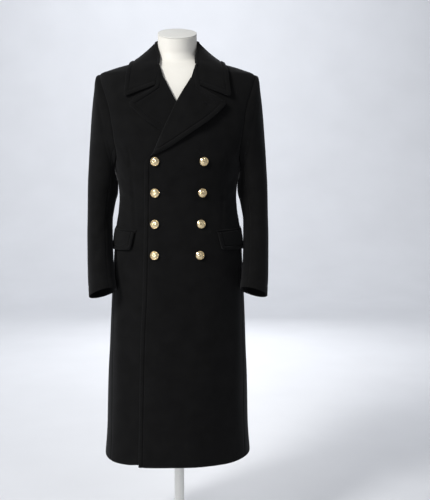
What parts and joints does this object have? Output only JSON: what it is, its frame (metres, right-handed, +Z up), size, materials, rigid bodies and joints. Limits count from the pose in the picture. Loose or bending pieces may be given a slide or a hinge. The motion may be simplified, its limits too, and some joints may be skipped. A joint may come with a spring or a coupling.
{
  "type": "military coat on a dress form",
  "caption": "Long double-breasted military coat with wide lapels, flap pockets and domed metal buttons, on a limbless dress form with a pole and round base.",
  "frame": {"origin": "centre of the underside of the stand's base, on the floor", "axes": "+Z up, the coat faces -Y, the wearer's left is +X"},
  "size_m": [0.538, 0.4159, 1.5694],
  "materials": {
    "coat": "black melton wool, matt with a faint nap",
    "buttons": "polished gilt brass, worn in the hollows",
    "form": "smooth off-white cover",
    "stand": "white satin lacquer"
  },
  "bodies": {
    "root": {"front_left": "coat", "front_right": "coat", "back_left": "coat", "back_right": "coat", "sleeve_left_top": "coat", "sleeve_left_under": "coat", "sleeve_right_top": "coat", "sleeve_right_under": "coat", "collar": "coat", "lapel_left": "coat", "lapel_right": "coat", "pocket_flap_left": "coat", "pocket_flap_right": "coat", "form_body": "form", "form_neck_cap": "form", "form_pole": "stand", "form_base": "stand", "button_left_1": "buttons", "button_left_2": "buttons", "button_left_3": "buttons", "button_left_4": "buttons", "button_right_1": "buttons", "button_right_2": "buttons", "button_right_3": "buttons", "button_right_4": "buttons"}
  },
  "joints": []
}
